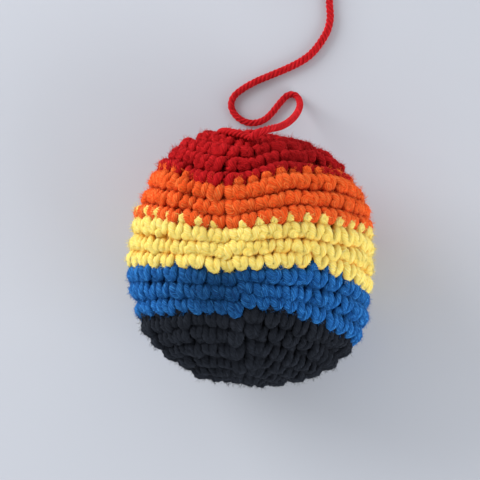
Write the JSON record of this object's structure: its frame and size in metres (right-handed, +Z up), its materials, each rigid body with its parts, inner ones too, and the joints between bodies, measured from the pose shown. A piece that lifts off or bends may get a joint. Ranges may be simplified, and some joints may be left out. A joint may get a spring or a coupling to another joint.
{
  "type": "crocheted play ball",
  "caption": "Soft play ball crocheted in striped rounds of cotton yarn, lightly filled, lying on its side with the yarn end trailing.",
  "frame": {"origin": "on the surface that the ball lies on, under the middle of the ball", "axes": "+Z up; +Y from the pole where the crochet was begun, in black, to the pole where it was closed, in red; +X to the right"},
  "size_m": [0.0602, 0.1296, 0.0444],
  "materials": {
    "black_yarn": "matte plied cotton yarn",
    "blue_yarn": "matte plied cotton yarn",
    "yellow_yarn": "matte plied cotton yarn",
    "orange_yarn": "matte plied cotton yarn",
    "red_yarn": "matte plied cotton yarn",
    "fibrefill": "loose white polyester fibre"
  },
  "bodies": {
    "root": {"black_base": "black_yarn", "blue_band": "blue_yarn", "yellow_band": "yellow_yarn", "orange_band": "orange_yarn", "red_crown": "red_yarn", "filling": "fibrefill", "magic_ring": "black_yarn", "closing_ring": "red_yarn", "knot_black_blue": "blue_yarn", "knot_blue_yellow": "yellow_yarn", "knot_yellow_orange": "orange_yarn", "knot_orange_red": "red_yarn", "yarn_tail": "red_yarn", "yarn_tail_coil": "red_yarn"}
  },
  "joints": []
}
